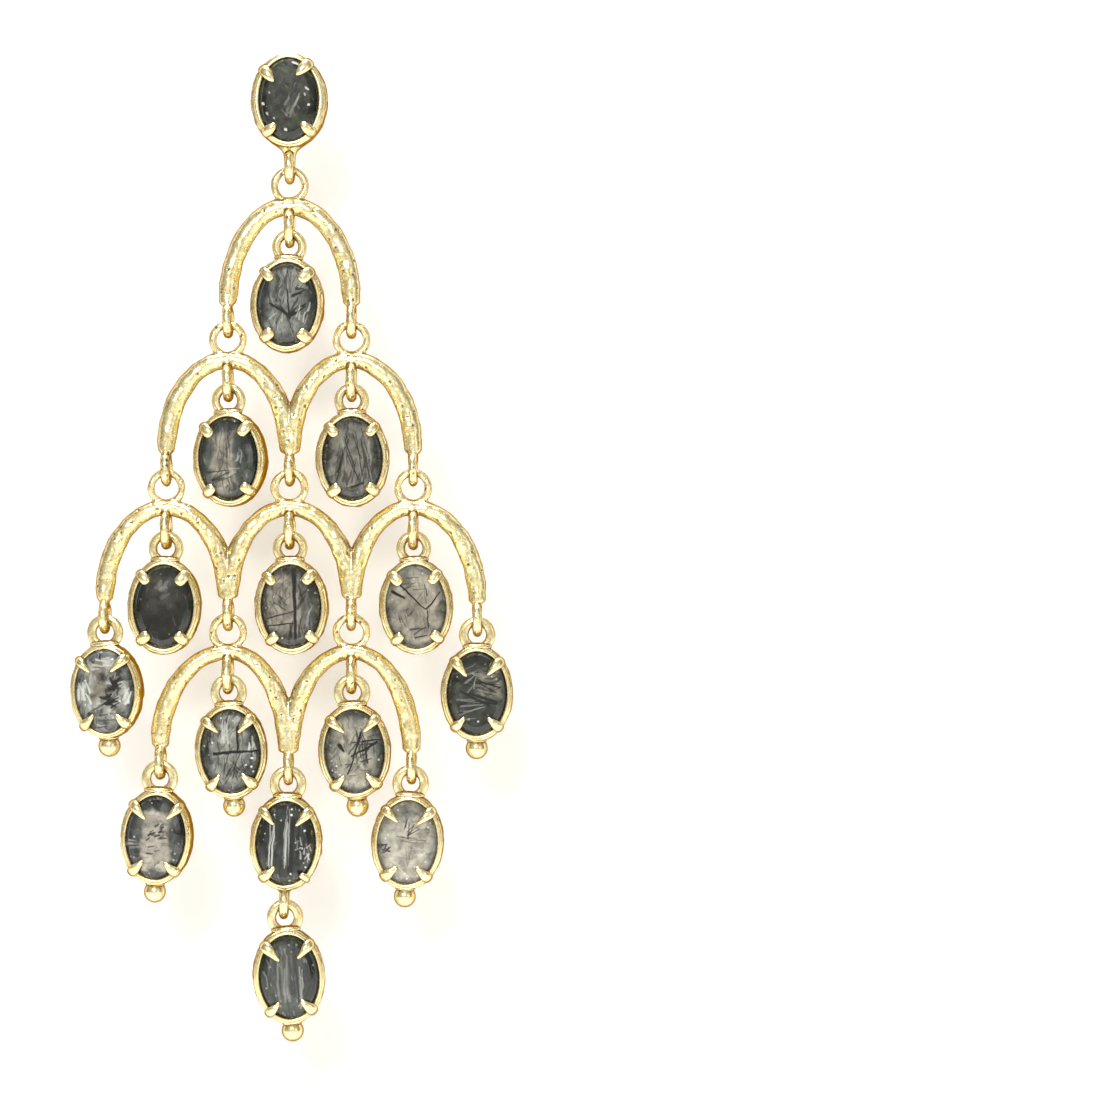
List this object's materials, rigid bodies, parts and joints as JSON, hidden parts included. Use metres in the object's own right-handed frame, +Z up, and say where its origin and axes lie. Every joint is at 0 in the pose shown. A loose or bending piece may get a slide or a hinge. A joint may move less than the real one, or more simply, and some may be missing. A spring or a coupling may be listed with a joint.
{
  "type": "chandelier earring",
  "caption": "Gold stud earring with linked tiers of textured arches, each arch and free foot carrying a claw-set oval stone.",
  "frame": {"origin": "root of the ear post, at the middle of the stud's flat back", "axes": "+Z up, +Y along the ear post towards its tip, the face looks along -Y, +X to the viewer's right"},
  "size_m": [0.037, 0.0141, 0.0826],
  "materials": {
    "gold": "polished, hammered on the arches",
    "quartz_dark": "polished",
    "quartz_grey": "polished",
    "quartz_clear": "polished"
  },
  "bodies": {
    "stud": {"stud_setting": "gold", "stud_stone": "quartz_dark"},
    "tier_1": {"tier_1_arch": "gold", "tier_1_drop_setting": "gold", "tier_1_drop_stone": "quartz_grey"},
    "tier_2": {"tier_2_arches": "gold", "tier_2_drop_left_setting": "gold", "tier_2_drop_left_stone": "quartz_grey", "tier_2_drop_right_setting": "gold", "tier_2_drop_right_stone": "quartz_grey"},
    "tier_3": {"tier_3_arches": "gold", "tier_3_drop_left_setting": "gold", "tier_3_drop_left_stone": "quartz_dark", "tier_3_drop_middle_setting": "gold", "tier_3_drop_middle_stone": "quartz_grey", "tier_3_drop_right_setting": "gold", "tier_3_drop_right_stone": "quartz_clear", "tier_3_end_left_setting": "gold", "tier_3_end_left_stone": "quartz_clear", "tier_3_end_right_setting": "gold", "tier_3_end_right_stone": "quartz_dark"},
    "tier_4": {"tier_4_arches": "gold", "tier_4_drop_left_setting": "gold", "tier_4_drop_left_stone": "quartz_clear", "tier_4_drop_right_setting": "gold", "tier_4_drop_right_stone": "quartz_grey", "tier_4_end_left_setting": "gold", "tier_4_end_left_stone": "quartz_grey", "tier_4_end_middle_setting": "gold", "tier_4_end_middle_stone": "quartz_dark", "tier_4_end_right_setting": "gold", "tier_4_end_right_stone": "quartz_clear", "last_drop_setting": "gold", "last_drop_stone": "quartz_dark"}
  },
  "joints": [
    {"name": "chandelier_sway", "type": "hinge", "parent": "stud", "child": "tier_1", "pos_m": [0, -0.0014, -0.00657], "axis": [0, 1, 0], "range_deg": [-45, 45]},
    {"name": "tier_2_swing", "type": "hinge", "parent": "tier_1", "child": "tier_2", "pos_m": [0, -0.0014, -0.01868], "axis": [1, 0, 0], "range_deg": [-40, 40]},
    {"name": "tier_3_swing", "type": "hinge", "parent": "tier_2", "child": "tier_3", "pos_m": [0, -0.0014, -0.03109], "axis": [1, 0, 0], "range_deg": [-40, 40]},
    {"name": "tier_4_swing", "type": "hinge", "parent": "tier_3", "child": "tier_4", "pos_m": [0, -0.0014, -0.0432], "axis": [1, 0, 0], "range_deg": [-40, 40]}
  ]
}
